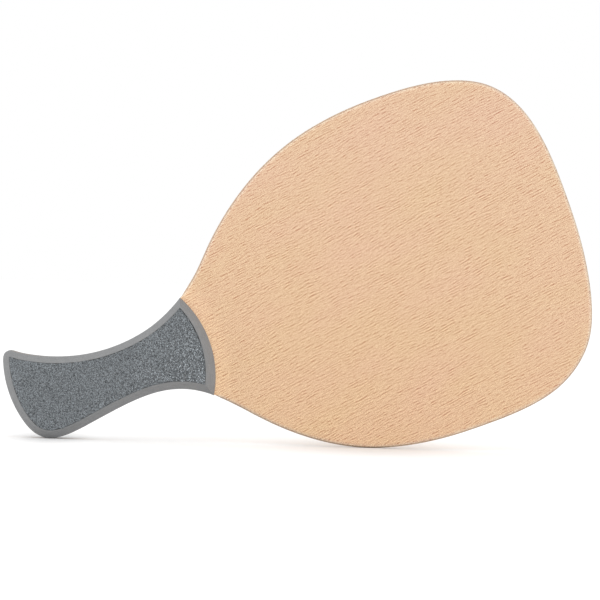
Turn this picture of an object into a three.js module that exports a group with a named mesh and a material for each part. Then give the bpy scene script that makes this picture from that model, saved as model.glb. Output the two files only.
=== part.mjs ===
// Frescobol racket: a beech plywood blade and handle, with a bevelled foam pad and a
// pebbled rubber facing glued to each side of the handle.
//
// Millimetres, +Z up. The racket stands on its lower edge, so that the heel of the
// handle and the belly of the blade touch the ground. The head points along +X and
// upwards, and the front face looks along -Y. The origin is on the ground, under the
// middle of the racket.
//
// The outline is drawn flat, with x along the handle from the heel to the head and y
// across it. A flat point (x, y) becomes the point (x, depth, y) of a solid, and the
// whole group is then turned about Y to stand it up.

import * as THREE from "three";

// Outline
const handleLength = 160;
const bladeLength = 260;
const headWidth = 245;
const neckWidth = 41;
const heelWidth = 70.5;

// Plywood
const faceVeneerThickness = 1;
const innerPlyThickness = 1.15;
const glueFilm = 0.05;
const rimRadius = 3.5;
const rimRunIn = 6;

// Grip
const gripLength = 146.2;
const gripEndRadius = 73.7;
const gripEndDrop = 0.8;
const padOverhang = 0.3;
const padSideHeight = 3;
const padBevelHeight = 5;
const padBevelWidth = 4.5;
const pocketLipWidth = 0.6;
const pocketDepth = 1;
const facingThickness = 1.2;
const facingClearance = 0.3;

// Fineness of the curved edges: the longest step, the most that one step turns, and the
// steps that each ply takes round the rim
const longestStep = 14;
const finestTurn = THREE.MathUtils.degToRad(6);
const rimSteps = 3;

// How often a search halves its range or rocks the racket, and the slant under which two
// directions count as parallel
const refinements = 40;
const parallelSlant = 1e-4;

// The two sides of the racket, as the sign of Y
const front = -1;
const back = 1;

// Outline shares, anticlockwise from the tip of the head. Each row holds the place
// along the blade or handle, the place across the head, neck or heel, and the heading
// of the edge in degrees from the direction of the head.
const upperBladeShares = [
  [1, 0.016, 90],
  [0.85, 0.463, 156],
  [0.6, 0.505, 180],
  [0.31, 0.457, 200],
  [0, 0.227, 228],
];
const upperNeckShares = [
  [0.75, 0.655, 203.5],
  [0.49, 0.456, 180],
];
const heelShares = [
  [0.106, 0.518, 148.5],
  [0.052, 0.577, 190],
  [0.018, 0.47, 254],
  [0.018, -0.146, 286],
  [0.071, -0.352, 320],
  [0.178, -0.423, 0],
  [0.312, -0.388, 9],
];
const lowerNeckShares = [
  [0.584, -0.544, 0],
  [0.75, -0.668, 337],
];
const lowerBladeShares = [
  [0, -0.249, 313],
  [0.31, -0.463, 344.5],
  [0.55, -0.495, 0],
  [0.77, -0.476, 14],
  [0.91, -0.388, 48],
  [0.977, -0.228, 77.5],
];

// Outline points: where the edge passes and which way it runs there
function outlinePoints(rows, start, length, width) {
  return rows.map(([alongShare, acrossShare, degrees]) => ({
    place: new THREE.Vector2(start + alongShare * length, acrossShare * width),
    heading: THREE.MathUtils.degToRad(degrees),
  }));
}

const racketPoints = [
  ...outlinePoints(upperBladeShares, handleLength, bladeLength, headWidth),
  ...outlinePoints(upperNeckShares, 0, handleLength, neckWidth),
  ...outlinePoints(heelShares, 0, handleLength, heelWidth),
  ...outlinePoints(lowerNeckShares, 0, handleLength, neckWidth),
  ...outlinePoints(lowerBladeShares, handleLength, bladeLength, headWidth),
];

// The angle between two headings, from minus half a turn to half a turn
function turnBetween(from, to) {
  const turn = to.heading - from.heading;
  return Math.atan2(Math.sin(turn), Math.cos(turn));
}

// The edge between two outline points: an arc where both ends lean alike
function edgeCurve(from, to) {
  const chord = from.place.distanceTo(to.place);
  const reach = chord / (3 * Math.cos(turnBetween(from, to) / 4) ** 2);
  const alongHeading = ({ heading }) =>
    new THREE.Vector2(Math.cos(heading), Math.sin(heading)).multiplyScalar(reach);
  const leaving = from.place.clone().add(alongHeading(from));
  const arriving = to.place.clone().sub(alongHeading(to));
  return new THREE.CubicBezierCurve(from.place, leaving, arriving, to.place);
}

// The outline as a ring of flat points, anticlockwise
function racketRing() {
  return racketPoints.flatMap((from, index) => {
    const to = racketPoints[(index + 1) % racketPoints.length];
    const byLength = from.place.distanceTo(to.place) / longestStep;
    const byTurn = Math.abs(turnBetween(from, to)) / finestTurn;
    const steps = Math.ceil(Math.max(byLength, byTurn));
    return edgeCurve(from, to).getPoints(steps).slice(0, -1);
  });
}

// Where the grip ends on the blade: an arc that bulges towards the head
const gripEndCentre = new THREE.Vector2(gripLength - gripEndRadius, -gripEndDrop);

function isOnGrip(point) {
  return point.x < gripEndCentre.x || point.distanceTo(gripEndCentre) < gripEndRadius;
}

// The point between one on the grip and one off it where the outline meets the end arc
function meetEndArc(onGrip, offGrip) {
  let near = onGrip;
  let far = offGrip;
  for (let halving = 0; halving < refinements; halving += 1) {
    const middle = near.clone().lerp(far, 0.5);
    if (isOnGrip(middle)) near = middle;
    else far = middle;
  }
  return near;
}

// The grip's outline: the handle's share of the racket's ring, closed by the end arc
function gripRing(ring) {
  const next = (index) => ring[(index + 1) % ring.length];
  const first = ring.findIndex((point, index) => !isOnGrip(point) && isOnGrip(next(index)));
  const turned = [...ring.slice(first + 1), ...ring.slice(0, first + 1)];
  const handle = turned.filter(isOnGrip);
  const upperCorner = meetEndArc(turned[0], ring[first]);
  const lowerCorner = meetEndArc(handle.at(-1), turned[handle.length]);
  const arcStart = lowerCorner.clone().sub(gripEndCentre).angle() - 2 * Math.PI;
  const arcEnd = upperCorner.clone().sub(gripEndCentre).angle();
  const steps = Math.ceil((arcEnd - arcStart) / finestTurn);
  const endArc = Array.from({ length: steps - 1 }, (_, step) => {
    const angle = THREE.MathUtils.lerp(arcStart, arcEnd, (step + 1) / steps);
    const spoke = new THREE.Vector2(Math.cos(angle), Math.sin(angle));
    return spoke.multiplyScalar(gripEndRadius).add(gripEndCentre);
  });
  return [upperCorner, ...handle, lowerCorner, ...endArc];
}

// Where two lines cross, each given by a start and a direction. Lines that are all but
// parallel belong to one smooth edge, where the second line starts at the crossing.
function crossing(first, second) {
  const slant = first.along.cross(second.along);
  if (Math.abs(slant) < parallelSlant) return second.start.clone();
  const run = second.start.clone().sub(first.start).cross(second.along) / slant;
  return first.start.clone().addScaledVector(first.along, run);
}

// A ring moved inwards. Edges that the move turns round have no room left: they vanish,
// and their points gather where the edges on both sides of them cross.
function insetRing(ring, distance) {
  const edges = ring.map((start, index) => {
    const end = ring[(index + 1) % ring.length];
    const along = end.clone().sub(start).normalize();
    const inwards = new THREE.Vector2(-along.y, along.x);
    return { along, start: start.clone().addScaledVector(inwards, distance), stays: true };
  });
  const staying = (from, step) => {
    let index = (from + edges.length) % edges.length;
    while (!edges[index].stays) index = (index + step + edges.length) % edges.length;
    return edges[index];
  };
  const movedPoint = (index) => crossing(staying(index - 1, -1), staying(index, 1));
  let turnedRound = [];
  do {
    turnedRound = edges.filter((edge, index) => {
      const run = movedPoint(index + 1).sub(movedPoint(index));
      return edge.stays && run.dot(edge.along) < 0;
    });
    turnedRound.forEach((edge) => {
      edge.stays = false;
    });
  } while (turnedRound.length > 0);
  return ring.map((_, index) => movedPoint(index));
}

// A closed solid over rings with equal counts, each at its own depth, from the innermost
// to the outermost. Depth grows away from the middle of the racket.
function layeredSolid(side, levels) {
  const coordinates = [];
  const cornerOf = ({ ring, depth }, index) => {
    const point = ring[index % ring.length];
    return new THREE.Vector3(point.x, side * depth, point.y);
  };
  const addTriangle = (first, second, third) => {
    if (first.equals(second) || second.equals(third) || third.equals(first)) return;
    const corners = side === front ? [first, second, third] : [first, third, second];
    corners.forEach((corner) => coordinates.push(...corner));
  };
  const addCap = (level, turnOver) => {
    THREE.ShapeUtils.triangulateShape([...level.ring], []).forEach((face) => {
      const corners = face.map((index) => cornerOf(level, index));
      addTriangle(...(turnOver ? corners.reverse() : corners));
    });
  };
  const addWall = (inner, outer) => {
    inner.ring.forEach((_, index) => {
      addTriangle(cornerOf(inner, index), cornerOf(inner, index + 1), cornerOf(outer, index + 1));
      addTriangle(cornerOf(inner, index), cornerOf(outer, index + 1), cornerOf(outer, index));
    });
  };
  addCap(levels[0], true);
  levels.slice(1).forEach((outer, index) => addWall(levels[index], outer));
  addCap(levels.at(-1), false);
  const geometry = new THREE.BufferGeometry();
  geometry.setAttribute("position", new THREE.Float32BufferAttribute(coordinates, 3));
  geometry.computeVertexNormals();
  return geometry;
}

// A named piece, set outwards from the middle of the racket by its inner depth
function piece(name, side, innerDepth, geometry, finish) {
  const mesh = new THREE.Mesh(geometry, new THREE.MeshStandardMaterial(finish));
  mesh.name = name;
  mesh.position.y = side * innerDepth;
  return mesh;
}

// Finishes
const faceBeech = { color: 0xe8c49e, roughness: 0.55, metalness: 0 };
const longGrainBeech = { color: 0xd9b088, roughness: 0.7, metalness: 0 };
const crossGrainBeech = { color: 0xb98b62, roughness: 0.8, metalness: 0 };
const greyFoam = { color: 0x939494, roughness: 0.85, metalness: 0 };
const greyRubber = { color: 0x74787b, roughness: 0.9, metalness: 0 };

// Depths from the middle of the core outwards, with a film of glue between the pieces
const pitch = innerPlyThickness + glueFilm;
const coreFace = innerPlyThickness / 2;
const longPlyDepth = coreFace + glueFilm;
const crossPlyDepth = longPlyDepth + pitch;
const veneerDepth = crossPlyDepth + pitch;
const bladeFace = veneerDepth + faceVeneerThickness;
const padDepth = bladeFace + glueFilm;
const facingDepth = padDepth + padSideHeight + padBevelHeight - pocketDepth + glueFilm;

// How far the rounded rim of the blade draws in at a depth: it rounds the outer plies
// and leaves the middle of the edge upright
const rimRounding = Math.min(rimRadius, bladeFace);

function rimInset(depth) {
  const beyond = Math.max(Math.abs(depth) - (bladeFace - rimRounding), 0);
  return rimRounding - Math.sqrt(Math.max(rimRounding ** 2 - beyond ** 2, 0));
}

// The plywood's ring at a depth. Under the grip it is upright and lies a little inside
// the pads. From the end of the grip it runs out to the blade's rounded rim.
function plyRing(depth) {
  const outline = racketRing();
  const deepest = rimRounding + padOverhang;
  const inset = insetRing(outline, deepest);
  return outline.map((point, index) => {
    const past = isOnGrip(point) ? 0 : point.distanceTo(gripEndCentre) - gripEndRadius;
    const onBlade = THREE.MathUtils.smoothstep(past, 0, rimRunIn);
    const drawIn = THREE.MathUtils.lerp(padOverhang, rimInset(depth), onBlade);
    return point.clone().lerp(inset[index], drawIn / deepest);
  });
}

// A ply: its edge follows the blade's rounded rim. The steps grow shorter outwards, where
// the rim curves over.
function ply(name, side, innerDepth, thickness, finish) {
  const levels = Array.from({ length: rimSteps + 1 }, (_, step) => {
    const depth = thickness * Math.sin((Math.PI / 2) * (step / rimSteps));
    return { ring: plyRing(innerDepth + depth), depth };
  });
  return piece(name, side, innerDepth, layeredSolid(side, levels), finish);
}

// The grip pad: straight at the handle's edge, bevelled all round, with a shallow pocket
// for the facing inside a narrow lip
function gripPad(name, side, innerDepth) {
  const outline = gripRing(racketRing());
  const bevelTop = insetRing(outline, padBevelWidth);
  const pocket = insetRing(outline, padBevelWidth + pocketLipWidth);
  const fullHeight = padSideHeight + padBevelHeight;
  const levels = [
    { ring: outline, depth: 0 },
    { ring: outline, depth: padSideHeight },
    { ring: bevelTop, depth: fullHeight },
    { ring: pocket, depth: fullHeight },
    { ring: pocket, depth: fullHeight - pocketDepth },
  ];
  return piece(name, side, innerDepth, layeredSolid(side, levels), greyFoam);
}

// The facing: a sheet that lies in the pad's pocket with a clearance all round
function gripFacing(name, side, innerDepth) {
  const outline = gripRing(racketRing());
  const ring = insetRing(outline, padBevelWidth + pocketLipWidth + facingClearance);
  const levels = [
    { ring, depth: 0 },
    { ring, depth: facingThickness },
  ];
  return piece(name, side, innerDepth, layeredSolid(side, levels), greyRubber);
}

// The five inner plies and two face veneers, grain turned from one to the next
function plywood() {
  const group = new THREE.Group();
  group.add(ply("core_ply", back, -coreFace, innerPlyThickness, crossGrainBeech));
  [["front", front], ["back", back]].forEach(([sideName, side]) => {
    const addPly = (kind, depth, thickness, finish) => {
      group.add(ply(`${sideName}_${kind}`, side, depth, thickness, finish));
    };
    addPly("long_ply", longPlyDepth, innerPlyThickness, longGrainBeech);
    addPly("cross_ply", crossPlyDepth, innerPlyThickness, crossGrainBeech);
    addPly("face_veneer", veneerDepth, faceVeneerThickness, faceBeech);
  });
  return group;
}

// The pad and facing on one side of the handle
function grip(sideName, side) {
  const group = new THREE.Group();
  group.add(gripPad(`${sideName}_grip_pad`, side, padDepth));
  group.add(gripFacing(`${sideName}_grip_facing`, side, facingDepth));
  return group;
}

// The lean at which the heel and the belly of the blade touch the ground together: the
// racket is rocked until its two lowest points lie level
function standingLean(ring) {
  const lowest = (points, lean) => {
    const height = (point) => point.x * Math.sin(lean) + point.y * Math.cos(lean);
    return points.reduce((best, point) => (height(point) < height(best) ? point : best));
  };
  const heel = ring.filter((point) => point.x < handleLength / 2);
  const blade = ring.filter((point) => point.x > handleLength);
  let lean = 0;
  for (let rock = 0; rock < refinements; rock += 1) {
    const heelContact = lowest(heel, lean);
    const bellyContact = lowest(blade, lean);
    lean = Math.atan2(heelContact.y - bellyContact.y, bellyContact.x - heelContact.x);
  }
  return lean;
}

// The racket stood up, with the ground at z = 0 and its middle over the origin
const racket = new THREE.Group();
racket.add(plywood(), grip("front", front), grip("back", back));

const lean = standingLean(racketRing());
const stoodUp = new THREE.Box2().setFromPoints(
  racketRing().map((point) => point.rotateAround(new THREE.Vector2(), lean)),
);
racket.rotation.y = -lean;
racket.position.set(-stoodUp.getCenter(new THREE.Vector2()).x, 0, -stoodUp.min.y);

export default racket;
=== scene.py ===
"""Looks of a frescobol racket: a beech plywood blade and handle with grey grips.

Lengths are in metres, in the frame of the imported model: the racket stands on its lower
edge, the head points along +X and the front face looks along -Y. An outline is a ring of
(x, z) points, anticlockwise as the front shows it. A depth is a distance from the middle
of the core, towards either side.
"""

import math

import bmesh
import bpy
import numpy as np
from bpy.props import FloatProperty, FloatVectorProperty, PointerProperty
from mathutils import Matrix, Vector, geometry, noise


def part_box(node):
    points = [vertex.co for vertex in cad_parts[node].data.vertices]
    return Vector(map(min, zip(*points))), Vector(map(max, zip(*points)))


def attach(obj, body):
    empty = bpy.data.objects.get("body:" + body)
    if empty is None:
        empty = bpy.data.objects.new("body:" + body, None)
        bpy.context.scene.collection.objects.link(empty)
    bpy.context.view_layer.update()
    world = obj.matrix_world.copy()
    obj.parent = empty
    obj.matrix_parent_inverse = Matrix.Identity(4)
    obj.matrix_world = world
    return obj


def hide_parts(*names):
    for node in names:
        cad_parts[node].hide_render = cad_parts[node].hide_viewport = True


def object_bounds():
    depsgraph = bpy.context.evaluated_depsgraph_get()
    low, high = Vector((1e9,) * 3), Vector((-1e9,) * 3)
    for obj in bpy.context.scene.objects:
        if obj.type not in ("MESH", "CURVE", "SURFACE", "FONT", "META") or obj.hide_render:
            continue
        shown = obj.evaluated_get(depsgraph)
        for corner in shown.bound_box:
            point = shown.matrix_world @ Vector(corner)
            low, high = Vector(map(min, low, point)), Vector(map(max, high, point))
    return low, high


bl_info = {
    "name": "Frescobol Racket",
    "version": (1, 0, 0),
    "blender": (4, 5, 0),
    "location": "3D View > Sidebar > Racket",
    "description": "Dresses the racket's plywood, grip pads and grip facings",
    "category": "Add Mesh",
}

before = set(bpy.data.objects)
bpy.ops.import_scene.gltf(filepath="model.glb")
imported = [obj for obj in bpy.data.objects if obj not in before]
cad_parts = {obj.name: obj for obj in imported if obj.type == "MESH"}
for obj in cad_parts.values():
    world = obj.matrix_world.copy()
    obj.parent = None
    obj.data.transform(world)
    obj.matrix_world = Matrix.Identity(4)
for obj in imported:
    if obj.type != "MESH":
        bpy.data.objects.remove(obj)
cad_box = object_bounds()

MM = 0.001
SIDES = (("front", -1), ("back", 1))

# Fineness of the meshes. The facing's points stray from an even grid by a share of its step.
RING_STEP = 1.2 * MM
SPLINE_STEPS = 16
FACING_STEP = 0.35 * MM
FACING_JITTER = 0.2
WELD = 0.002 * MM
SHARP_EDGE = math.radians(38)

# Small sizes of the plywood. The rim comes to its full roundness over the run-in, beyond
# the grip. A margin of faces inside each edge keeps the shading of the flat even.
PLY_EASE = 0.04 * MM
RIM_RUN_IN = 6 * MM
RIM_STEPS = 10
MARGIN_WIDTH = 0.6 * MM

# The grain, in millimetres. Its dark dashes come in two lengths, each with a share, and have
# a paler dash on either side at the spacing. They crowd, the colour changes in patches, and
# the whole grain wanders sideways. The other pairs are sizes along the grain and across it.
FIBRE_LENGTHS = ((5.5, 1.0), (16, 0.6))
FIBRE_WIDTH = 0.5
FIBRE_SPACING = 0.88
GRIT_SIZE = 0.34
CROWD_SIZE = (16, 9)
PATCH_SIZE = (70, 32)
PORE_SIZE = (4, 0.22)
WANDER_SIZE = (70, 40)
WANDER = 2.5

# Share of the paler dashes, contrast of the dashes where they are sparse and where they
# crowd, and how much of an edge the pores cover
PALER_SHARE = -0.5
CROWD_CONTRAST = (0.7, 1.1)
PORE_COVER = 0.45

# Where each of these begins and is full, as a value of its noise or as the cosine of an angle
CROWD_RANGE = (-0.13, 0.13)
FLECK_RANGE = (-0.06, -0.40)
PORE_RANGE = (0.12, -0.06)
END_GRAIN_RANGE = (0.15, 0.95)
FACE_RANGE = (0.4, 0.9)
PAINTED_EDGE_SHADE_RANGE = (0.35, 0.65)

# How the grain's detail and its pinker and yellower patches tell in red, green and blue
DETAIL_TINT = (0.60, 1.0, 1.12)
PATCH_TINT = (0.2, -0.6, 0.9)

# Painted light along the end of the grip, which makes up for the pad's shade there: how much paler
# the face is, and how far on that fades
GRIP_END_PAINTED_LIGHT = 1.155
GRIP_END_PAINTED_LIGHT_WIDTH = 17 * MM

# Painted shade: the edge is darker where it looks this way, under the blade, by the grip
PAINTED_SHADE_SIDE = (-0.8, 0, -0.6)
PAINTED_EDGE_SHADE = 0.78

# Small sizes of the grip pad. The bevel is wider along its lower edge and narrower along its
# upper one, by the lopside's share. At the end arc it is wider by the spread, lopsided too,
# and the arc bulges. The butt and the blade end sag towards their outer edge.
UNDERCUT_WIDTH = 0.35 * MM
UNDERCUT_HEIGHT = 0.5 * MM
LIP_EDGE_RADIUS = 0.15 * MM
BEVEL_LOPSIDE = 0.12
END_BEVEL_SPREAD = 0.22
END_BEVEL_LOPSIDE = 0.50
END_BULGE = 0.45 * MM
END_SAG = 2.7 * MM
END_SAG_WIDTH = 4 * MM
FILLET_STEPS = 4
BEVEL_STEP = 1.1 * MM
SANDING_WAVE = 0.12 * MM
SANDING_WAVE_LENGTH = 14 * MM

# Grain of the foam: the length and the width of a sanding streak in millimetres, the sizes
# of the pores and of the broad cloudy lumps, and the painted shade that darkens the pocket's floor
STREAK_SIZE = (7, 0.5)
FINE_PORE = 0.35 * MM
COARSE_PORE = 0.9 * MM
CLOUD_SIZE = 9 * MM
POCKET_PAINTED_SHADE = -0.45

# Small sizes of the grip facing. It is seated an inset away from the pocket's wall. Its
# trimmed edge strays round a line that is a gap away from the lip, and clears the lip where
# it laps over. The top drops a little to the edge, whose wall ends lower still.
FACING_INSET = 0.3 * MM
FACING_GAP = 0.12 * MM
FACING_CLEARANCE = 0.02 * MM
FACING_EDGE_DROP = 0.1 * MM
FACING_WALL_DROP = 0.15 * MM

# Waves of that edge: the strength and the length of each
EDGE_WAVES = ((1.8, 1.9 * MM), (0.6, 6 * MM))

# On a stretch of the end arc the facing has shrunk away from the lip. The middle of the
# stretch is a share of the way from the arc's lower end, and so is its spread.
SHRINKAGE = 0.55 * MM
SHRUNK_PLACES = {"front": 0.72, "back": 0.3}
SHRUNK_SPREAD = 0.13

# Pebbles: how much wider than long they are, the square of their radius over that of their
# distance, and the least and the greatest height
PEBBLE_STRETCH = 1.25
PEBBLE_SHARE = 0.95
PEBBLE_TALLNESS = (0.45, 1)

# The pebbles' tops grow bolder, taller and with brighter painted highlights, away from the end
# arc's centre, towards the blade and towards the lower edge, per radius of the arc
BOLD_AT_CENTRE = 0.1
BOLD_TO_BLADE = 0.8
BOLD_TO_LOWER_EDGE = 1.2

# The pebbles' relief, as shares of its property: how far its middle lies below the top of
# the CAD's facing, its height, and how much is added where the tops are boldest
RELIEF_SINK = 0.35
RELIEF_PLAIN = 0.8
RELIEF_BOLD = 0.5

# Painted shade in the hollows, painted light on the domes and painted highlights on the
# bold tops, as shares of the facing's colour, the painted shade round bold tops, the relief
# whose painted shade the walls take, and the size and the shades of its grit
HOLLOW_PAINTED_SHADE = 0.30
DOME_PAINTED_LIGHT = 1.36
TOP_PAINTED_HIGHLIGHT = 4.6
BOLD_PAINTED_SHADE = -0.13
WALL_RELIEF = 0.2
RUBBER_GRIT = 0.4 * MM
RUBBER_GRIT_SHADES = (0.25, 1.75)

# Where the domes' painted light and the tops' painted highlights begin and are full, in relief,
# and the grit
DOME_RANGE = (0.0, 0.75)
TOP_PAINTED_HIGHLIGHT_RANGE = (0.68, 0.95)
RUBBER_GRIT_RANGE = (-0.3, 0.3)

# Seeds, so that every run is the same. Each wood is cut from a place of its own, its seed
# times the shift in millimetres away. The shift through the ply is a whole number of fibre
# widths and of grit sizes, so that both faces cut them alike. The last two shifts keep the
# layers of the grain apart.
WOOD_SEEDS = {"front": 0, "back": 1, "long": 5, "cross": 8}
WOOD_SHIFT = (53.0, 31.0, 17.0)
FIBRE_SHIFT = 7.3
GRIT_SHIFT = 11.3
FACING_SEEDS = {"front": 11, "back": 12}
WAVE_SEEDS = {"front": 3.7, "back": 41.3}


class RacketWood(bpy.types.PropertyGroup):
    """Sizes and colours of the plywood"""

    # Partly the beech's own tone, partly painted light and shade: the face is lighter and bluer
    # towards its top and darker towards its bottom
    low_shaded_colour: FloatVectorProperty(
        name="Lower face",
        description="Colour of the sanded beech at the faces' lower edge",
        subtype="COLOR", default=(0.783, 0.530, 0.325), min=0, max=1,
    )
    high_lit_colour: FloatVectorProperty(
        name="Upper face",
        description="Colour of the sanded beech at the faces' upper edge",
        subtype="COLOR", default=(0.791, 0.538, 0.356), min=0, max=1,
    )
    blush: FloatProperty(
        name="Blush",
        description="Strength of the pinker and yellower patches of the faces",
        subtype="FACTOR", default=0.10, min=0, max=1,
    )
    # Also gives the paler band of painted sheen on the faces' rounded rim
    edge_and_sheen_colour: FloatVectorProperty(
        name="Edge",
        description="Colour of an edge that runs along its grain, and of the rubbed rim",
        subtype="COLOR", default=(0.86, 0.68, 0.51), min=0, max=1,
    )
    end_grain_colour: FloatVectorProperty(
        name="End grain",
        description="Colour of an edge that is cut across its grain",
        subtype="COLOR", default=(0.66, 0.47, 0.32), min=0, max=1,
    )
    pore_colour: FloatVectorProperty(
        name="Pores",
        description="Colour of the pores in an edge",
        subtype="COLOR", default=(0.16, 0.085, 0.045), min=0, max=1,
    )
    grain_angle: FloatProperty(
        name="Grain angle",
        description="Angle of the faces' grain above the ground",
        subtype="ANGLE", default=math.radians(29.8),
    )
    rim_radius: FloatProperty(
        name="Rim radius",
        description="Radius of the rounded rim of the blade",
        unit="LENGTH", default=3.5 * MM, min=0.1 * MM, max=4 * MM,
    )
    fleck_strength: FloatProperty(
        name="Flecks",
        description="Contrast of the darkest of the dashes",
        subtype="FACTOR", default=0.34, min=0, max=2,
    )
    streak_strength: FloatProperty(
        name="Streaks",
        description="Contrast of all the dashes along the grain",
        subtype="FACTOR", default=0.34, min=0, max=2,
    )
    grit_strength: FloatProperty(
        name="Grit",
        description="Contrast of the fine pores that have no direction",
        subtype="FACTOR", default=2.3, min=0, max=4,
    )


class RacketGrip(bpy.types.PropertyGroup):
    """Sizes and colours of the grip"""

    pad_colour: FloatVectorProperty(
        name="Pad",
        description="Colour of the cut foam of the pads",
        subtype="COLOR", default=(0.272, 0.276, 0.280), min=0, max=1,
    )
    facing_colour: FloatVectorProperty(
        name="Facing",
        description="Colour of the pebbled rubber facings",
        subtype="COLOR", default=(0.132, 0.145, 0.155), min=0, max=1,
    )
    bevel_width: FloatProperty(
        name="Bevel width",
        description="Mean width of the pad's bevel along the handle, seen from the front",
        unit="LENGTH", default=4.4 * MM, min=1 * MM, max=8 * MM,
    )
    lip_width: FloatProperty(
        name="Lip width",
        description="Width of the flat lip between the bevel and the facing's pocket",
        unit="LENGTH", default=0.6 * MM, min=0.2 * MM, max=2 * MM,
    )
    bevel_edge_radius: FloatProperty(
        name="Bevel edge radius",
        description="Radius of the edge between the pad's side and its bevel",
        unit="LENGTH", default=0.9 * MM, min=0.05 * MM, max=2 * MM,
    )
    pebble_size: FloatProperty(
        name="Pebble size",
        description="Distance from one pebble of the facing to the next",
        unit="LENGTH", default=0.70 * MM, min=0.5 * MM, max=4 * MM,
    )
    pebble_relief: FloatProperty(
        name="Pebble relief",
        description="Height of the facing's pebbles",
        unit="LENGTH", default=0.26 * MM, min=0, max=0.8 * MM,
    )
    edge_wander: FloatProperty(
        name="Edge wander",
        description="How far the facing's trimmed edge strays from its line",
        unit="LENGTH", default=0.5 * MM, min=0, max=1 * MM,
    )


class RacketStage(bpy.types.PropertyGroup):
    """Floor, light and camera"""

    floor_colour: FloatVectorProperty(
        name="Floor",
        description="Colour of the pale floor",
        subtype="COLOR", default=(0.82, 0.82, 0.82), min=0, max=1,
    )
    floor_lift: FloatProperty(
        name="Floor lift",
        description="Brightness that the camera sees added to the lit floor near the racket",
        default=0.27, min=0, max=2,
    )
    far_floor_lift: FloatProperty(
        name="Far floor lift",
        description="The same far from the racket, where less of the lamps' light falls",
        default=0.6, min=0, max=2,
    )
    room_light: FloatProperty(
        name="Room light",
        description="Strength of the even light from all round",
        default=1.01, min=0, max=2,
    )
    camera_distance: FloatProperty(
        name="Camera distance",
        description="Distance from the camera to the middle of the picture",
        unit="LENGTH", default=3.0, min=0.5, max=10,
    )
    camera_height_angle: FloatProperty(
        name="Camera elevation",
        description="Angle at which the camera looks down",
        subtype="ANGLE", default=math.radians(1.2),
    )
    camera_roll: FloatProperty(
        name="Camera roll",
        description="Lean of the picture, clockwise",
        subtype="ANGLE", default=math.radians(1.78),
    )
    picture_width: FloatProperty(
        name="Picture width",
        description="Width of the square picture at the racket",
        unit="LENGTH", default=426.4 * MM, min=0.1, max=5,
    )


# Outlines

def cap_ring(node, depth):
    """The edge of the flat face that a CAD node has at that value of y."""
    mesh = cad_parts[node].data
    corners = np.array([vertex.co for vertex in mesh.vertices])
    grid = np.round(corners / WELD).astype(int)
    _, first, merged = np.unique(grid, axis=0, return_index=True, return_inverse=True)
    merged = merged.ravel()
    flat = np.abs(corners[:, 1] - depth) < WELD
    edges = set()
    for polygon in mesh.polygons:
        around = list(polygon.vertices)
        if all(flat[index] for index in around):
            edges.update((merged[a], merged[b]) for a, b in zip(around, around[1:] + around[:1]))
    following = {a: b for a, b in edges if (b, a) not in edges}
    if not following:
        raise RuntimeError(f"{node} has no flat face at {depth}")
    start = min(following)
    walk = [start]
    while following[walk[-1]] != start:
        walk.append(following[walk[-1]])
    if len(walk) != len(following):
        raise RuntimeError(f"the flat face of {node} at {depth} has more than one edge")
    ring = corners[first[walk]][:, [0, 2]]
    return ring if signed_area(ring) > 0 else ring[::-1]


def signed_area(ring):
    """A ring's area, below zero where it runs clockwise."""
    after = np.roll(ring, -1, axis=0)
    return 0.5 * np.sum(ring[:, 0] * after[:, 1] - after[:, 0] * ring[:, 1])


def lengths_along(line):
    """The distance from the start of a line to each of its points."""
    return np.concatenate([[0], np.cumsum(np.linalg.norm(np.diff(line, axis=0), axis=1))])


def even_points(line, count):
    """A line walked again in count points that lie evenly along it."""
    along = lengths_along(line)
    wanted = np.linspace(0, along[-1], count)
    return np.stack([np.interp(wanted, along, line[:, axis]) for axis in (0, 1)], axis=1)


def smooth_ring(ring):
    """An even ring along the smooth curve through the points of a coarser one."""
    after = np.roll(ring, -1, axis=0)
    run = np.linalg.norm(after - ring, axis=1)[:, None]
    heading = (after - ring) / run
    run_before, heading_before = np.roll(run, 1, axis=0), np.roll(heading, 1, axis=0)
    slope = (heading * run_before + heading_before * run) / (run + run_before)
    slope_after = np.roll(slope, -1, axis=0)
    pieces = []
    for t in np.arange(SPLINE_STEPS) / SPLINE_STEPS:
        start_share = (1 + 2 * t) * (1 - t) ** 2
        pieces.append(
            start_share * ring + (1 - start_share) * after
            + run * (t * (1 - t) ** 2 * slope - t**2 * (1 - t) * slope_after)
        )
    curve = np.stack(pieces, axis=1).reshape(-1, 2)
    closed = np.vstack([curve, curve[:1]])
    count = math.ceil(lengths_along(closed)[-1] / RING_STEP)
    return even_points(closed, count + 1)[:-1]


def inset_ring(ring, distance):
    """A smooth ring moved inwards, by one distance or by one for each point."""
    along = np.roll(ring, -1, axis=0) - np.roll(ring, 1, axis=0)
    along /= np.linalg.norm(along, axis=1)[:, None]
    inwards = np.stack([-along[:, 1], along[:, 0]], axis=1)
    return ring + inwards * np.broadcast_to(distance, len(ring))[:, None]


def circle_through(first, second, third):
    """Centre and radius of the circle through three points."""
    rows = 2 * np.array([second - first, third - first])
    sums = np.array([second @ second - first @ first, third @ third - first @ first])
    centre = np.linalg.solve(rows, sums)
    return centre, np.linalg.norm(first - centre)


def corner_chain(ring):
    """The part of the grip's ring that lies between its two sharp corners on the blade."""
    before = ring - np.roll(ring, 1, axis=0)
    after = np.roll(ring, -1, axis=0) - ring
    turn = np.abs(before[:, 0] * after[:, 1] - before[:, 1] * after[:, 0])
    turn /= np.linalg.norm(before, axis=1) * np.linalg.norm(after, axis=1)
    one, other = sorted(np.argsort(turn)[-2:])
    chains = [ring[one:other + 1], np.vstack([ring[other:], ring[:one + 1]])]
    return max(chains, key=lambda chain: chain[:, 0].mean())


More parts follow.
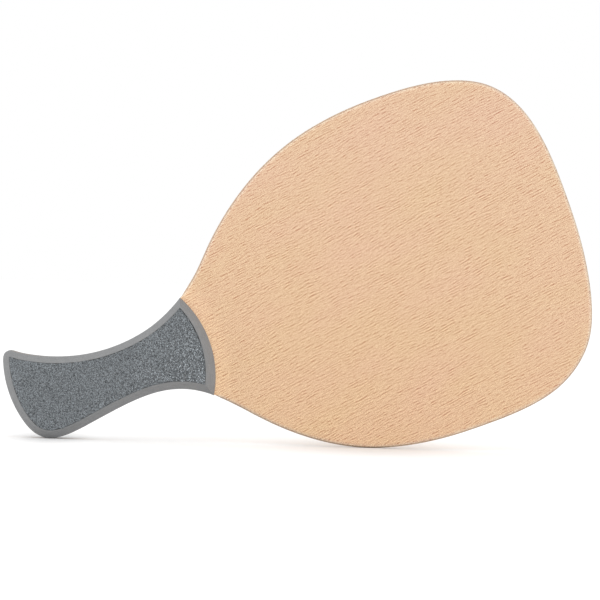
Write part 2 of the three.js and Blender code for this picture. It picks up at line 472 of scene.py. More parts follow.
# The arc in which the grip ends on the blade, and the ways along the handle and across it
end_arc = corner_chain(cap_ring("front_grip_pad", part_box("front_grip_pad")[1].y))
end_centre, end_radius = circle_through(end_arc[0], end_arc[len(end_arc) // 2], end_arc[-1])
end_radius += END_BULGE
handle_axis = end_arc[0] + end_arc[-1] - 2 * end_centre
handle_axis /= np.linalg.norm(handle_axis)
upper_axis = np.array([-handle_axis[1], handle_axis[0]])


def end_circle(inset):
    """Centre and radius of the grip's end arc at an inset. It moves in further than the
    inset, and most at its lower end."""
    centre = end_centre + upper_axis * inset * END_BEVEL_LOPSIDE
    return centre, end_radius - inset * (1 + END_BEVEL_SPREAD)


def reach_past_grip(points, inset=0.0):
    """How far points lie beyond the grip's end arc, below zero on the grip."""
    centre, radius = end_circle(inset)
    past = np.linalg.norm(points - centre, axis=-1) - radius
    return np.where((points - centre) @ handle_axis < 0, -radius, past)


def meet_end_arc(on_grip, off_grip, inset):
    """The point between two where the end arc passes."""
    centre, radius = end_circle(inset)
    near = np.linalg.norm(on_grip - centre)
    far = np.linalg.norm(off_grip - centre)
    return on_grip + (off_grip - on_grip) * (radius - near) / (far - near)


def under_grip(points):
    """How far points are covered by the grip, from 1 on the grip to 0 past the run-in."""
    past = np.clip(reach_past_grip(points) / RIM_RUN_IN, 0, 1)
    return 1 - past**2 * (3 - 2 * past)


# How far the pads overhang the plies, and the racket's outline. The soft rim of the foam
# is pressed in as far as the CAD's pads overhang, and the plies as far again.
pad_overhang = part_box("core_ply")[0].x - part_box("front_grip_pad")[0].x
racket_ring = smooth_ring(cap_ring("core_ply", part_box("core_ply")[0].y))


def ply_ring(inset, ease=0.0):
    """The plywood's outline with the rim drawn in on the blade. Under the grip the plies
    stay upright, a little inside the pads."""
    covered = under_grip(racket_ring)
    return inset_ring(racket_ring, covered * pad_overhang + (1 - covered) * inset + ease)


def grip_ring(inset):
    """The grip's outline moved inwards, less along its upper edge than along its lower one.
    Every inset has the same count of points, with the upper corner first, and the same
    count between its corners."""
    around = np.roll(racket_ring, -1, axis=0) - np.roll(racket_ring, 1, axis=0)
    upwards = -around[:, 0] / np.linalg.norm(around, axis=1)
    moved = inset_ring(racket_ring, inset * (1 - BEVEL_LOPSIDE * upwards))
    inside = reach_past_grip(moved, inset) < 0
    first = int(np.flatnonzero(inside & ~np.roll(inside, 1))[0])
    chain = np.roll(moved, -first, axis=0)[:inside.sum()]
    before, after = moved[first - 1], moved[(first + len(chain)) % len(moved)]
    upper = meet_end_arc(chain[0], before, inset)
    lower = meet_end_arc(chain[-1], after, inset)
    handle = even_points(np.vstack([upper, chain, lower]), HANDLE_POINTS)
    centre, radius = end_circle(inset)
    from_angle, to_angle = (math.atan2(*(corner - centre)[::-1]) for corner in (lower, upper))
    angles = np.linspace(from_angle, to_angle, ARC_POINTS)[1:-1, None]
    arc = centre + radius * np.hstack([np.cos(angles), np.sin(angles)])
    return np.vstack([handle, arc])


# How many points a ring of the grip has along the handle and along the end arc
HANDLE_POINTS = int((reach_past_grip(racket_ring) < 0).sum())
ARC_POINTS = math.ceil(lengths_along(end_arc)[-1] / RING_STEP)


# Meshes

def finish_mesh(mesh, attributes=None):
    """Smooth shading between sharp edges, and values that the materials read."""
    mesh.shade_smooth()
    mesh.set_sharp_from_angle(angle=SHARP_EDGE)
    for name, values in (attributes or {}).items():
        mesh.attributes.new(name, "FLOAT", "POINT").data.foreach_set("value", values)
    mesh.validate()
    return mesh


def corners_at(side, points, depth):
    """The corners of a mesh at (x, z) points, at one depth or at one for each point."""
    depths = np.broadcast_to(side * np.asarray(depth), len(points))
    return np.column_stack([points[:, 0], depths, points[:, 1]])


def wall_faces(levels, count):
    """Faces that join that many levels of count corners, and the cap on the first level."""
    faces = []
    for level in range(levels - 1):
        for index in range(count):
            inner, inner_next = level * count + index, level * count + (index + 1) % count
            faces.append((inner, inner_next, inner_next + count, inner + count))
    faces.append(tuple(range(count))[::-1])
    return faces


def lofted_mesh(name, side, levels, attributes=None):
    """A closed mesh through rings of equal counts, from the innermost to the outermost.
    A level is a ring and its depth, which may be one for each point."""
    count = len(levels[0][0])
    corners = [corners_at(side, ring, depth) for ring, depth in levels]
    faces = wall_faces(len(levels), count)
    faces.append(tuple(range((len(levels) - 1) * count, len(levels) * count)))
    if side > 0:
        faces = [face[::-1] for face in faces]
    mesh = bpy.data.meshes.new(name)
    mesh.from_pydata(np.vstack(corners).tolist(), [], faces)
    shape = bmesh.new()
    shape.from_mesh(mesh)
    caps = [face for face in shape.faces if len(face.verts) > 4]
    bmesh.ops.triangulate(shape, faces=caps, ngon_method="BEAUTY")
    shape.to_mesh(mesh)
    shape.free()
    return finish_mesh(mesh, attributes)


def add_piece(mesh, node, material):
    """Puts a finished mesh in the place of its CAD node."""
    piece = bpy.data.objects.new(f"{node}_finished", mesh)
    bpy.context.scene.collection.objects.link(piece)
    mesh.materials.append(material)
    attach(piece, "root")
    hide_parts(node)
    return piece


def depths_of(node):
    """The least and the greatest depth of a CAD node that lies on one side."""
    low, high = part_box(node)
    return sorted((abs(low.y), abs(high.y)))


# Materials

class Nodes:
    """A node tree, with short ways to add nodes and to join them."""

    def __init__(self, tree):
        self.tree = tree

    def set(self, node, inputs):
        """Gives a node's sockets their values. A value that is a socket is joined to it."""
        for key, value in inputs.items():
            if isinstance(value, bpy.types.NodeSocket):
                self.tree.links.new(value, node.inputs[key])
            else:
                node.inputs[key].default_value = value

    def add(self, kind, inputs=None, **settings):
        node = self.tree.nodes.new(f"ShaderNode{kind}")
        for key, value in settings.items():
            setattr(node, key, value)
        self.set(node, inputs or {})
        return node

    def place(self):
        return self.add("TexCoord").outputs["Object"]

    def math(self, operation, first, second=0.0):
        return self.add("Math", {0: first, 1: second}, operation=operation).outputs[0]

    def vector(self, operation, first, second=(0, 0, 0)):
        node = self.add("VectorMath", {0: first, 1: second}, operation=operation)
        return node.outputs["Value" if operation in ("DOT_PRODUCT", "LENGTH") else "Vector"]

    def squareness(self, normal, way):
        """How squarely a surface looks along a way, from either side."""
        return self.math("ABSOLUTE", self.vector("DOT_PRODUCT", normal, way))

    def attribute(self, name):
        return self.add("Attribute", attribute_name=name).outputs["Fac"]

    def mix(self, factor, first, second, blend="MIX"):
        node = self.add("Mix", data_type="RGBA", blend_type=blend)
        self.set(node, {0: factor, 6: first, 7: second})
        return node.outputs[2]

    def times(self, colour, shade):
        """A colour multiplied by a shade or by another colour."""
        return self.mix(1.0, colour, shade, "MULTIPLY")

    def spread(self, value, low, high, out_low=0.0, out_high=1.0):
        """A value's share of the way from low to high, eased at both ends."""
        node = self.add("MapRange", {
            "Value": value, "From Min": low, "From Max": high,
            "To Min": out_low, "To Max": out_high,
        }, interpolation_type="SMOOTHSTEP")
        return node.outputs["Result"]

    def noise(self, place, detail, roughness=0.5, dimensions="3D"):
        """Smooth noise round zero."""
        node = self.add("TexNoise", {
            "Vector": place, "Scale": 1.0, "Detail": detail, "Roughness": roughness,
        }, noise_dimensions=dimensions)
        return self.math("SUBTRACT", node.outputs["Fac"], 0.5)

    def sum(self, *parts):
        """The sum of values, each times its share."""
        total = 0.0
        for value, share in parts:
            node = self.add("Math", {0: value, 1: share, 2: total}, operation="MULTIPLY_ADD")
            total = node.outputs[0]
        return total

    def bump(self, height, strength, distance):
        inputs = {"Strength": strength, "Distance": distance, "Height": height}
        return self.add("Bump", inputs).outputs["Normal"]

    def seen_as_background(self):
        """1 for what the camera, a reflection or clear matter shows, and 0 for light."""
        path = self.add("LightPath")
        seen = path.outputs["Is Camera Ray"]
        for kind in ("Is Glossy Ray", "Is Transmission Ray"):
            seen = self.math("MAXIMUM", seen, path.outputs[kind])
        return seen


def new_material(name):
    """A material, its node helper and its surface node."""
    material = bpy.data.materials.new(name)
    material.use_nodes = True
    nodes = Nodes(material.node_tree)
    return material, nodes, nodes.tree.nodes["Principled BSDF"]


def opaque(colour):
    return (*colour, 1.0)


def grain_place(nodes, angle, seed, side):
    """The place in the wood, in millimetres along its wandering grain, across it and through
    the ply. On a side the depth counts outwards, so that both faces cut the grain alike."""
    grain = nodes.add("Mapping", {
        "Vector": nodes.place(),
        "Location": [seed * shift for shift in WOOD_SHIFT],
        "Rotation": (-math.pi / 2, 0, -angle),
        "Scale": (1 / MM, (-side if side else 1) / MM, 1 / MM),
    }).outputs["Vector"]
    wander = nodes.math("MULTIPLY", nodes.noise(stretched(nodes, grain, WANDER_SIZE), 3.0), WANDER)
    return nodes.vector("ADD", grain, nodes.add("CombineXYZ", {"Y": wander}).outputs["Vector"])


def stretched(nodes, grain, size, shift=0.0):
    """The place in the wood in units of a size along the grain and one across it."""
    along, across = size
    units = nodes.vector("MULTIPLY", grain, (1 / along, 1 / across, 1 / across))
    return nodes.vector("ADD", units, (shift,) * 3) if shift else units


def grain_dashes(nodes, grain, length):
    """Dark dashes along the grain, each between two paler ones."""
    place = stretched(nodes, grain, (length, FIBRE_WIDTH), FIBRE_SHIFT * length)
    beside = [
        nodes.noise(nodes.vector("ADD", place, (0, spacing / FIBRE_WIDTH, 0)), 0.0)
        for spacing in (-FIBRE_SPACING, FIBRE_SPACING)
    ]
    return nodes.sum((nodes.noise(place, 0.0), 1.0), *((pale, PALER_SHARE) for pale in beside))


def grain_shade(nodes, grain, fibre, wood):
    """What the colour is multiplied by for the dashes, the flecks, the grit and the patches."""
    crowd = nodes.noise(stretched(nodes, grain, CROWD_SIZE), 1.0)
    dashes = nodes.math("MULTIPLY", fibre, nodes.spread(crowd, *CROWD_RANGE, *CROWD_CONTRAST))
    grit = nodes.noise(stretched(nodes, grain, (GRIT_SIZE, GRIT_SIZE), GRIT_SHIFT), 0.0)
    detail = nodes.sum(
        (dashes, wood.streak_strength),
        (nodes.spread(fibre, *FLECK_RANGE), -wood.fleck_strength),
        (grit, wood.grit_strength),
    )
    patch = nodes.noise(stretched(nodes, grain, PATCH_SIZE), 1.0)
    patches = nodes.math("MULTIPLY", patch, wood.blush)
    shade = nodes.vector("ADD", nodes.vector("MULTIPLY", detail, DETAIL_TINT),
                         nodes.vector("MULTIPLY", patches, PATCH_TINT))
    return nodes.vector("ADD", shade, (1, 1, 1))


def cut_edge(nodes, angle, normal, pores, wood):
    """Colour of an edge: darker where it cuts across the fibres, with dark pores."""
    fibres = (math.cos(angle), 0, math.sin(angle))
    end_on = nodes.squareness(normal, fibres)
    edge = nodes.mix(nodes.spread(end_on, *END_GRAIN_RANGE),
                     opaque(wood.edge_and_sheen_colour), opaque(wood.end_grain_colour))
    cover = nodes.spread(pores, *PORE_RANGE, 0.0, PORE_COVER)
    return nodes.mix(cover, edge, opaque(wood.pore_colour))


def sanded_face(nodes, normal, edge, wood):
    """Colour of a veneer: its face, painted lighter towards its top, its rim with a paler band of
    painted sheen, and its edge.
    """
    # Partly the beech's tone, partly painted light and shade: lighter towards the top, darker
    # towards the bottom
    height = nodes.vector("DOT_PRODUCT", nodes.place(), (0, 0, 1))
    ground = nodes.mix(nodes.spread(height, cad_box[0].z, cad_box[1].z),
                       opaque(wood.low_shaded_colour), opaque(wood.high_lit_colour))
    face_on = nodes.squareness(normal, (0, 1, 0))
    # Painted sheen: a paler band where the rim turns away from the face
    level = nodes.sum((nodes.math("MULTIPLY", face_on, face_on), 2.0), (1.0, -1.0))
    sheen = nodes.mix(level, opaque(wood.edge_and_sheen_colour), ground)
    return nodes.mix(nodes.spread(face_on, *FACE_RANGE), edge, sheen)


def painted_light_and_shade(nodes, normal):
    """Painted light on the face along the end of the grip, and painted shade on the edge that
    looks down and towards the handle.
    """
    centre = (end_centre[0], 0, end_centre[1])
    apart = nodes.vector("MULTIPLY", nodes.vector("SUBTRACT", nodes.place(), centre), (1, 0, 1))
    past = nodes.math("SUBTRACT", nodes.vector("LENGTH", apart), end_radius)
    # Painted light: paler along the end of the grip, making up for the pad's shade
    grip_end_light = nodes.spread(past, 0, GRIP_END_PAINTED_LIGHT_WIDTH, GRIP_END_PAINTED_LIGHT, 1.0)
    # Painted shade: darker on the edge that looks down and towards the handle
    facing_shaded_side = nodes.vector("DOT_PRODUCT", normal, PAINTED_SHADE_SIDE)
    return nodes.math("MULTIPLY", grip_end_light, nodes.spread(facing_shaded_side, *PAINTED_EDGE_SHADE_RANGE, 1.0, PAINTED_EDGE_SHADE))


def wood_material(name, wood, turn, seed, side=None):
    """Beech with its grain at the faces' angle plus a turn. A face veneer gives its side."""
    material, nodes, surface = new_material(name)
    angle = wood.grain_angle + turn
    grain = grain_place(nodes, angle, seed, side)
    fibre = nodes.sum(*(
        (grain_dashes(nodes, grain, length), share) for length, share in FIBRE_LENGTHS
    ))
    pores = nodes.noise(stretched(nodes, grain, PORE_SIZE), 2.0, 0.6)
    normal = nodes.add("NewGeometry").outputs["Normal"]
    colour = cut_edge(nodes, angle, normal, pores, wood)
    if side:
        colour = sanded_face(nodes, normal, colour, wood)
    colour = nodes.times(colour, grain_shade(nodes, grain, fibre, wood))
    nodes.set(surface, {
        "Base Color": nodes.times(colour, painted_light_and_shade(nodes, normal)),
        "Roughness": nodes.sum((fibre, 0.2), (0.5, 1.0)),
        "Normal": nodes.bump(nodes.sum((fibre, 1.0), (pores, 0.3)), 0.3, 0.02 * MM),
        "Specular IOR Level": 0.4,
    })
    return material


def pad_material(grip):
    """Cut closed-cell foam: matte, finely pored, with faint sanding streaks along it, and with
    painted shade on the pocket's floor."""
    material, nodes, surface = new_material("cut_grey_foam")
    place = nodes.place()
    along_pad = nodes.add("CombineXYZ", {
        "X": nodes.attribute("around"), "Y": nodes.attribute("rise"),
    }).outputs["Vector"]
    streaked = nodes.vector("MULTIPLY", along_pad, (1 / STREAK_SIZE[0], 1 / STREAK_SIZE[1], 1))
    streak = nodes.noise(streaked, 3.0, 0.6, "2D")

    def lumps(size):
        return nodes.noise(nodes.vector("MULTIPLY", place, (1 / size,) * 3), 3.0, 0.6)

    pores = nodes.sum((lumps(FINE_PORE), 1.0), (lumps(COARSE_PORE), 0.6))
    shade = nodes.sum(
        (streak, 0.35), (lumps(CLOUD_SIZE), 0.14), (pores, 0.7),
        (nodes.attribute("painted_pocket_shade"), POCKET_PAINTED_SHADE), (1.0, 1.0),
    )
    nodes.set(surface, {
        "Base Color": nodes.times(opaque(grip.pad_colour), shade),
        "Roughness": 0.85,
        "Normal": nodes.bump(nodes.sum((pores, 1.0), (streak, 1.0)), 0.5, 0.12 * MM),
        "Specular IOR Level": 0.25,
    })
    return material


def facing_material(grip):
    """Pebbled rubber, with painted shade between the pebbles and painted highlights on their tops.
    """
    material, nodes, surface = new_material("pebbled_grey_rubber")
    relief = nodes.attribute("relief")
    painted_highlight = nodes.attribute("painted_highlight")
    grit = nodes.noise(nodes.vector("MULTIPLY", nodes.place(), (1 / RUBBER_GRIT,) * 3), 0.0)
    shaded_hollow, dome, painted_highlight_top = (
        opaque(Vector(grip.facing_colour) * shade)
        for shade in (HOLLOW_PAINTED_SHADE, DOME_PAINTED_LIGHT, TOP_PAINTED_HIGHLIGHT)
    )
    # Painted shade in the hollows and painted light on the domes, then painted highlights on the
    # bold tops with painted shade round them
    colour = nodes.mix(nodes.spread(relief, *DOME_RANGE), shaded_hollow, dome)
    colour = nodes.times(colour, nodes.sum((painted_highlight, BOLD_PAINTED_SHADE), (1.0, 1.0)))
    top = nodes.math("MULTIPLY", nodes.spread(relief, *TOP_PAINTED_HIGHLIGHT_RANGE), painted_highlight)
    colour = nodes.mix(top, colour, painted_highlight_top)
    speckle = nodes.spread(grit, *RUBBER_GRIT_RANGE, *RUBBER_GRIT_SHADES)
    nodes.set(surface, {
        "Base Color": nodes.times(colour, speckle),
        "Roughness": 0.6,
        "Normal": nodes.bump(grit, 0.4, 0.08 * MM),
        "Specular IOR Level": 0.4,
    })
    return material


# Pieces

blade_face = depths_of("front_face_veneer")[1]


def rim_inset(depth, radius):
    """How far the rounded rim draws in at a depth."""
    beyond = max(abs(depth) - (blade_face - radius), 0)
    return radius - math.sqrt(max(radius**2 - beyond**2, 0))


def ply_mesh(node, side, depths, radius):
    """A ply or a face veneer: its edge follows the racket's rounded rim, and its corners
    are just eased by sanding."""
    inner, outer = depths
    low, high = inner + PLY_EASE, outer - PLY_EASE
    levels = [(ply_ring(rim_inset(inner, radius), PLY_EASE), inner)]
    for share in np.sin(np.linspace(0, math.pi / 2, RIM_STEPS + 1)):
        depth = low + (high - low) * share
        levels.append((ply_ring(rim_inset(depth, radius)), depth))
    for ease in (PLY_EASE, PLY_EASE + MARGIN_WIDTH):
        levels.append((ply_ring(rim_inset(outer, radius), ease), outer))
    return lofted_mesh(node, side, levels)


def filleted(profile, radii):
    """A profile whose inner corners are rounded, each by a fillet of its own radius."""
    rounded = [profile[0]]
    for before, corner, after, radius in zip(profile, profile[1:], profile[2:], radii):
        before, corner, after = (np.array(point) for point in (before, corner, after))
        back = (before - corner) / np.linalg.norm(before - corner)
        ahead = (after - corner) / np.linalg.norm(after - corner)
        half = math.acos(np.clip(back @ ahead, -1, 1)) / 2
        reach = radius / math.tan(half)
        for t in np.linspace(0, 1, FILLET_STEPS + 1):
            point = corner + back * reach * (1 - t) ** 2 + ahead * reach * t**2
            rounded.append(tuple(point))
    rounded.append(profile[-1])
    return rounded


def with_steps(profile, step):
    """A profile with no stretch longer than a step."""
    dense = [profile[0]]
    for start, end in zip(profile, profile[1:]):
        start, end = np.array(start), np.array(end)
        count = max(1, math.ceil(math.dist(start, end) / step))
        dense += [tuple(start + (end - start) * (index + 1) / count) for index in range(count)]
    return dense


def pad_profile(node, grip):
    """Section of a grip pad as (inset, depth) points, from the foot of its upright side over
    the bevel and the lip to the pocket's floor, and the depth at which the bevel starts."""
    inner, outer = depths_of(node)
    depths = np.abs([vertex.co.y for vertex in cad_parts[node].data.vertices])
    side_top, pocket_floor = np.unique(np.round(depths / WELD))[1:3] * WELD
    lip = grip.bevel_width + grip.lip_width
    profile = filleted(
        [(0, inner), (0, side_top), (grip.bevel_width, outer), (lip, outer), (lip, pocket_floor)],
        [grip.bevel_edge_radius, 3 * LIP_EDGE_RADIUS, LIP_EDGE_RADIUS],
    )
    undercut = [(UNDERCUT_WIDTH, inner), (0, inner + UNDERCUT_HEIGHT)]
    return with_steps([*undercut, *profile[1:]], BEVEL_STEP), side_top


def pad_mesh(node, side_name, side, grip):
    """A grip pad: an upright side, a bevel, a narrow lip and a pocket for the facing. It
    carries how far round and up the pad its points lie, and which are in the pocket."""
    inner, outer = depths_of(node)
    profile, side_top = pad_profile(node, grip)
    last = len(profile) - 1
    seed_place = WAVE_SEEDS[side_name] * SANDING_WAVE_LENGTH
    levels, values = [], {"around": [], "rise": [], "painted_pocket_shade": []}
    travelled = 0.0
    for index, (inset, depth) in enumerate(profile):
        if index:
            travelled += math.dist(profile[index - 1], profile[index])
        ring = grip_ring(inset)
        share = np.clip((depth - side_top) / (outer - side_top), 0, 1) if inset > 0 else 0
        outwards = ring - inset_ring(ring, MM)
        end_on = (outwards @ handle_axis) / MM
        sag = END_SAG * end_on**2 * np.clip(1 - inset / END_SAG_WIDTH, 0, 1) ** 2
        wave = np.array([
            noise.noise(Vector((x, z, seed_place)) / SANDING_WAVE_LENGTH) for x, z in ring
        ])
        depth = depth - sag * np.clip((depth - inner) / (side_top - inner), 0, 1)
        if 0 < share < 1 and index < last:
            depth = depth + SANDING_WAVE * share * (wave - 1)
        levels.append((ring, depth))
        values["around"].extend(np.arange(len(ring)) * RING_STEP / MM)
        values["rise"].extend([travelled / MM] * len(ring))
        # The pocket's floor and the foot of its wall get painted shade
        values["painted_pocket_shade"].extend([float(index >= last - 1)] * len(ring))
    return lofted_mesh(node, side, levels, values)


def pebble_heights(points, size, seed):
    """Height of the pebbles at (x, z) points, from 0 between them to 1 on the tallest."""
    cell = np.array([size, size * PEBBLE_STRETCH])
    places = np.stack([points @ handle_axis, points @ upper_axis], axis=1) / cell
    places -= places.min(axis=0) - 2
    home = np.floor(places).astype(int)
    chance = np.random.default_rng(seed)
    spots = chance.random((*(home.max(axis=0) + 3), 2))
    tallness = chance.uniform(*PEBBLE_TALLNESS, spots.shape[:2])
    height = np.zeros(len(points))
    for column in (-1, 0, 1):
        for row in (-1, 0, 1):
            near = home + (column, row)
            middle = near + spots[near[:, 0], near[:, 1]]
            apart = np.sum((places - middle) ** 2, axis=1)
            dome = tallness[near[:, 0], near[:, 1]] * (1 - apart / PEBBLE_SHARE)
            height = np.maximum(height, dome)
    return height


def inside_ring(points, ring):
    """Which points lie inside a ring."""
    inside = np.zeros(len(points), bool)
    for (x1, z1), (x2, z2) in zip(ring, np.roll(ring, -1, axis=0)):
        crosses = (z1 > points[:, 1]) != (z2 > points[:, 1])
        if z1 != z2:
            at = x1 + (points[:, 1] - z1) * (x2 - x1) / (z2 - z1)
            inside ^= crosses & (points[:, 0] < at)
    return inside


def facing_outlines(side_name, grip, seed):
    """A facing's outline where it is seated, its trimmed edge, and the ways inwards."""
    pocket = grip.bevel_width + grip.lip_width
    line, deeper = (grip_ring(pocket + step) for step in (0, FACING_INSET))
    inwards = deeper - line
    inwards /= np.linalg.norm(inwards, axis=1)[:, None]
    shrunk = np.zeros(len(line))
    from_lower = np.linspace(0, 1, ARC_POINTS)[1:-1]
    off_place = (from_lower - SHRUNK_PLACES[side_name]) / SHRUNK_SPREAD
    shrunk[HANDLE_POINTS:] = SHRINKAGE * np.exp(-off_place**2)
    wander = np.array([
        sum(strength * noise.noise(Vector((x, z, seed * MM)) / length)
            for strength, length in EDGE_WAVES)
        for x, z in line
    ])
    stray = grip.edge_wander * np.clip(wander, -1, 1) + FACING_GAP
    seated = line + inwards * (FACING_INSET + shrunk)[:, None]
    edge = line + inwards * (stray + shrunk)[:, None]
    return seated, edge, inwards


def facing_points(margin, inwards, seed):
    """Points all over a facing's top, with those of its margin first, and the triangles
    between them."""
    low, high = margin.min(axis=0), margin.max(axis=0)
    columns, rows = (int(extent / FACING_STEP) for extent in high - low)
    grid = np.stack(np.meshgrid(np.arange(columns), np.arange(rows)), axis=-1).astype(float)
    grid[1::2, :, 0] += 0.5
    grid += np.random.default_rng(seed).uniform(-FACING_JITTER, FACING_JITTER, grid.shape)
    grid = low + FACING_STEP * grid.reshape(-1, 2)
    keep = inside_ring(grid, margin + inwards * FACING_STEP / 2)
    points = np.vstack([margin, grid[keep]])
    flat, _, triangles, sources, _, _ = geometry.delaunay_2d_cdt(
        [Vector(point) for point in points], [], [list(range(len(margin)))], 1, WELD / 100)
    if len(flat) != len(points) or any(index != [i] for i, index in enumerate(sources)):
        raise RuntimeError("the points of a grip facing don't lie clear of each other")
    return points, triangles


def facing_mesh(node, side_name, side, grip):
    """A grip facing: a sheet in the pad's pocket, with a pebbled top and a trimmed edge. It
    carries the height of the pebbles and how bold their painted highlights are."""
    inner, outer = depths_of(node)
    lip_top = depths_of(f"{side_name}_grip_pad")[1]
    seed = FACING_SEEDS[side_name]
    seated, edge, inwards = facing_outlines(side_name, grip, seed)
    margin = edge + inwards * FACING_EDGE_DROP
    points, triangles = facing_points(margin, inwards, seed)
    count = len(margin)

    heights = pebble_heights(points, grip.pebble_size, seed)
    along = (points - end_centre) @ handle_axis / end_radius
    across = (points - end_centre) @ upper_axis / end_radius
    bold = np.clip(BOLD_AT_CENTRE + BOLD_TO_BLADE * along - BOLD_TO_LOWER_EDGE * across, 0, 1)
    middle = outer - RELIEF_SINK * grip.pebble_relief
    top = middle + grip.pebble_relief * (heights - 0.5) * (RELIEF_PLAIN + RELIEF_BOLD * bold)
    top[:count] = np.minimum(top[:count], outer - FACING_EDGE_DROP)

    lap = lip_top + FACING_CLEARANCE
    rings = [
        (seated, inner), (seated, lap),
        (edge, lap + FACING_CLEARANCE), (edge, outer - FACING_WALL_DROP),
    ]
    walls = np.vstack([corners_at(side, ring, depth) for ring, depth in rings])
    vertices = np.vstack([walls, corners_at(side, points, top)])
    faces = wall_faces(len(rings) + 1, count)
    faces += [tuple(index + len(walls) for index in triangle) for triangle in triangles]
    if side > 0:
        faces = [face[::-1] for face in faces]
    mesh = bpy.data.meshes.new(node)
    mesh.from_pydata(vertices.tolist(), [], faces)
    attributes = {
        "relief": np.concatenate([np.full(len(walls), WALL_RELIEF), heights]),
        "painted_highlight": np.concatenate([np.zeros(len(walls)), bold]),
    }
    return finish_mesh(mesh, attributes)


class RACKET_OT_inner_plies(bpy.types.Operator):
    """Makes the core ply and the long and cross plies on both sides of it"""

    bl_idname = "racket.inner_plies"
    bl_label = "Inner Plies"

    def execute(self, context):
        wood = context.scene.racket_wood
        long_grain = wood_material("long_grain_beech", wood, 0.0, WOOD_SEEDS["long"])
        cross_grain = wood_material("cross_grain_beech", wood, math.pi / 2, WOOD_SEEDS["cross"])
        low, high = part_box("core_ply")
        mesh = ply_mesh("core_ply", 1, (low.y, high.y), wood.rim_radius)
        add_piece(mesh, "core_ply", cross_grain)
        for side_name, side in SIDES:
            for kind, material in (("long", long_grain), ("cross", cross_grain)):
                node = f"{side_name}_{kind}_ply"
                mesh = ply_mesh(node, side, depths_of(node), wood.rim_radius)
                add_piece(mesh, node, material)
        return {"FINISHED"}


class RACKET_OT_face_veneers(bpy.types.Operator):
    """Makes the two outer veneers, whose rims are rounded off outside the grip"""

    bl_idname = "racket.face_veneers"
    bl_label = "Face Veneers"

    def execute(self, context):
        wood = context.scene.racket_wood
        for side_name, side in SIDES:
            node = f"{side_name}_face_veneer"
            seed = WOOD_SEEDS[side_name]
            material = wood_material(f"{side_name}_face_beech", wood, 0.0, seed, side)
            mesh = ply_mesh(node, side, depths_of(node), wood.rim_radius)
            add_piece(mesh, node, material)
        return {"FINISHED"}


class RACKET_OT_grip_pads(bpy.types.Operator):
    """Makes the bevelled foam pads on both sides of the handle"""

    bl_idname = "racket.grip_pads"
    bl_label = "Grip Pads"

    def execute(self, context):
        grip = context.scene.racket_grip
        material = pad_material(grip)
        for side_name, side in SIDES:
            node = f"{side_name}_grip_pad"
            pad = add_piece(pad_mesh(node, side_name, side, grip), node, material)
        return {"FINISHED"}


class RACKET_OT_grip_facings(bpy.types.Operator):
    """Makes the pebbled rubber facings that lie in the pads' pockets"""

    bl_idname = "racket.grip_facings"
    bl_label = "Grip Facings"

    def execute(self, context):
        grip = context.scene.racket_grip
        material = facing_material(grip)
        for side_name, side in SIDES:
            node = f"{side_name}_grip_facing"
            add_piece(facing_mesh(node, side_name, side, grip), node, material)
        return {"FINISHED"}


# Stage

# The floor's width, and how far from the racket's middle its lift is still the near one and
# from where on it is the far one
FLOOR_SIZE = 12.0
NEAR_FLOOR = 0.35
FAR_FLOOR = 1.3

# The floor's lift at the foot of each part, and how far round it that fades along the
# racket and across it. The lower lift there paints shade round each foot, on top of the real
# contact shadow
FOOT_LIFTS = {"handle": (0.03, 36 * MM, 125 * MM), "blade": (0.06, 95 * MM, 165 * MM)}

PICTURE_CENTRE = (0.93 * MM, 0, 103.5 * MM)
SENSOR_WIDTH = 36.0

# Each lamp's place, width and power in watts
LAMPS = {
    "front_lamp": ((1.7, -2.5, 1.3), 2.4, 8.0),
    "left_lamp": ((-2.4, -0.5, 0.8), 1.4, 8.5),
    "right_lamp": ((2.6, -0.5, 0.4), 0.8, 3.0),
}


def foot_of(part):
    """Where the outline of the handle or the blade touches the floor."""
    on_handle = under_grip(racket_ring) > 0.5
    points = racket_ring[on_handle if part == "handle" else ~on_handle]
    return points[points[:, 1].argmin()][0], 0, 0


def floor_material(stage):
    """A pale floor that the camera sees lifted, so that it turns white away from shadows."""
    material, nodes, surface = new_material("pale_floor")
    nodes.set(surface, {
        "Base Color": opaque(stage.floor_colour), "Roughness": 1.0, "Specular IOR Level": 0.0,
    })
    away = nodes.vector("LENGTH", nodes.place())
    lift = nodes.spread(away, NEAR_FLOOR, FAR_FLOOR, stage.floor_lift, stage.far_floor_lift)
    for part, (foot_lift, along, across) in FOOT_LIFTS.items():
        off = nodes.vector("SUBTRACT", nodes.place(), foot_of(part))
        off = nodes.vector("MULTIPLY", off, (1 / along, 1 / across, 0))
        near = nodes.spread(nodes.vector("LENGTH", off), 0, 1, foot_lift, stage.floor_lift)
        lift = nodes.math("MINIMUM", lift, near)
    seen_lift = nodes.math("MULTIPLY", nodes.seen_as_background(), lift)
    glow = nodes.add("Emission", {"Color": (1, 1, 1, 1), "Strength": seen_lift})
    both = nodes.add("AddShader", {0: surface.outputs[0], 1: glow.outputs[0]})
    nodes.set(nodes.tree.nodes["Material Output"], {"Surface": both.outputs[0]})
    return material


def add_floor(stage):
    mesh = bpy.data.meshes.new("floor")
    half = FLOOR_SIZE / 2
    mesh.from_pydata([(-half, -half, 0), (half, -half, 0), (half, half, 0), (-half, half, 0)],
                     [], [(0, 1, 2, 3)])
    mesh.materials.append(floor_material(stage))
    floor = bpy.data.objects.new("floor", mesh)
    bpy.context.scene.collection.objects.link(floor)


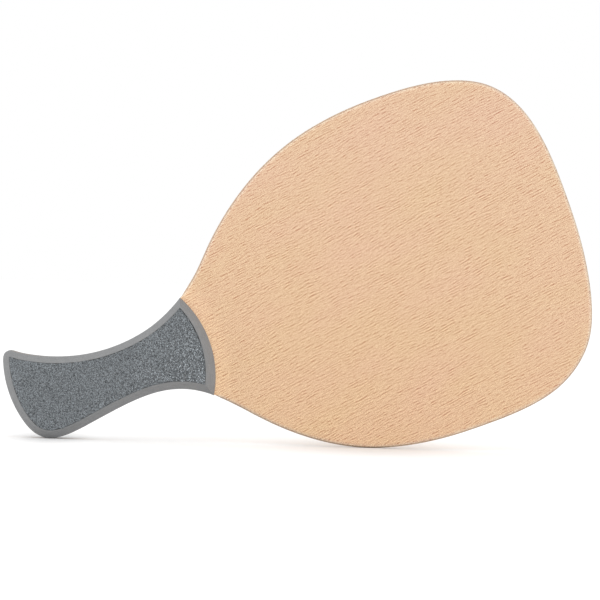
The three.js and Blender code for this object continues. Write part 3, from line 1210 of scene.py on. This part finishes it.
def light_room(stage):
    """Even light from all round. What the camera and reflections see of it is white."""
    world = bpy.data.worlds.new("studio")
    bpy.context.scene.world = world
    world.use_nodes = True
    nodes = Nodes(world.node_tree)
    light, white = (
        nodes.add("Background", {"Color": (1, 1, 1, 1), "Strength": strength})
        for strength in (stage.room_light, 1.0)
    )
    chosen = nodes.add("MixShader", {
        0: nodes.seen_as_background(), 1: light.outputs[0], 2: white.outputs[0],
    })
    nodes.set(nodes.tree.nodes["World Output"], {"Surface": chosen.outputs[0]})


def add_lamps():
    for name, (place, width, power) in LAMPS.items():
        data = bpy.data.lights.new(name, "AREA")
        data.shape, data.size, data.energy = "SQUARE", width, power
        lamp = bpy.data.objects.new(name, data)
        lamp.location = place
        aim = Vector(PICTURE_CENTRE) - lamp.location
        lamp.rotation_euler = aim.to_track_quat("-Z", "Y").to_euler()
        bpy.context.scene.collection.objects.link(lamp)


def add_camera(stage):
    data = bpy.data.cameras.new("camera")
    data.sensor_width = SENSOR_WIDTH
    data.lens = SENSOR_WIDTH * stage.camera_distance / stage.picture_width
    camera = bpy.data.objects.new("camera", data)
    tilt = stage.camera_height_angle
    away = Vector((0, -math.cos(tilt), math.sin(tilt)))
    camera.location = Vector(PICTURE_CENTRE) + away * stage.camera_distance
    turn = (-away).to_track_quat("-Z", "Y").to_matrix()
    roll = Matrix.Rotation(stage.camera_roll, 3, "Z")
    camera.rotation_euler = (turn @ roll).to_euler()
    bpy.context.scene.collection.objects.link(camera)
    bpy.context.scene.camera = camera


class RACKET_OT_stage(bpy.types.Operator):
    """Makes the pale floor, the soft light and the camera"""

    bl_idname = "racket.stage"
    bl_label = "Stage"

    def execute(self, context):
        stage = context.scene.racket_stage
        add_floor(stage)
        light_room(stage)
        add_lamps()
        add_camera(stage)
        context.scene.view_settings.view_transform = "Standard"
        return {"FINISHED"}


class RACKET_PT_sidebar(bpy.types.Panel):
    """Lists the racket's sizes, colours and pieces"""

    bl_idname = "RACKET_PT_sidebar"
    bl_label = "Frescobol Racket"
    bl_space_type = "VIEW_3D"
    bl_region_type = "UI"
    bl_category = "Racket"

    def draw(self, context):
        for settings, operators in PANEL_ROWS:
            box = self.layout.box()
            group = getattr(context.scene, settings)
            for key in group.__annotations__:
                box.prop(group, key)
            for operator in operators:
                box.operator(operator.bl_idname)


PANEL_ROWS = (
    ("racket_wood", (RACKET_OT_inner_plies, RACKET_OT_face_veneers)),
    ("racket_grip", (RACKET_OT_grip_pads, RACKET_OT_grip_facings)),
    ("racket_stage", (RACKET_OT_stage,)),
)
CLASSES = (
    RacketWood, RacketGrip, RacketStage,
    RACKET_OT_inner_plies, RACKET_OT_face_veneers, RACKET_OT_grip_pads,
    RACKET_OT_grip_facings, RACKET_OT_stage, RACKET_PT_sidebar,
)


def register():
    for cls in CLASSES:
        bpy.utils.register_class(cls)
    bpy.types.Scene.racket_wood = PointerProperty(type=RacketWood)
    bpy.types.Scene.racket_grip = PointerProperty(type=RacketGrip)
    bpy.types.Scene.racket_stage = PointerProperty(type=RacketStage)


def unregister():
    del bpy.types.Scene.racket_stage, bpy.types.Scene.racket_grip, bpy.types.Scene.racket_wood
    for cls in reversed(CLASSES):
        bpy.utils.unregister_class(cls)


def main():
    """Makes the stage and every piece."""
    register()
    bpy.ops.racket.stage()
    bpy.ops.racket.inner_plies()
    bpy.ops.racket.face_veneers()
    bpy.ops.racket.grip_pads()
    bpy.ops.racket.grip_facings()


if __name__ == "__main__":
    main()
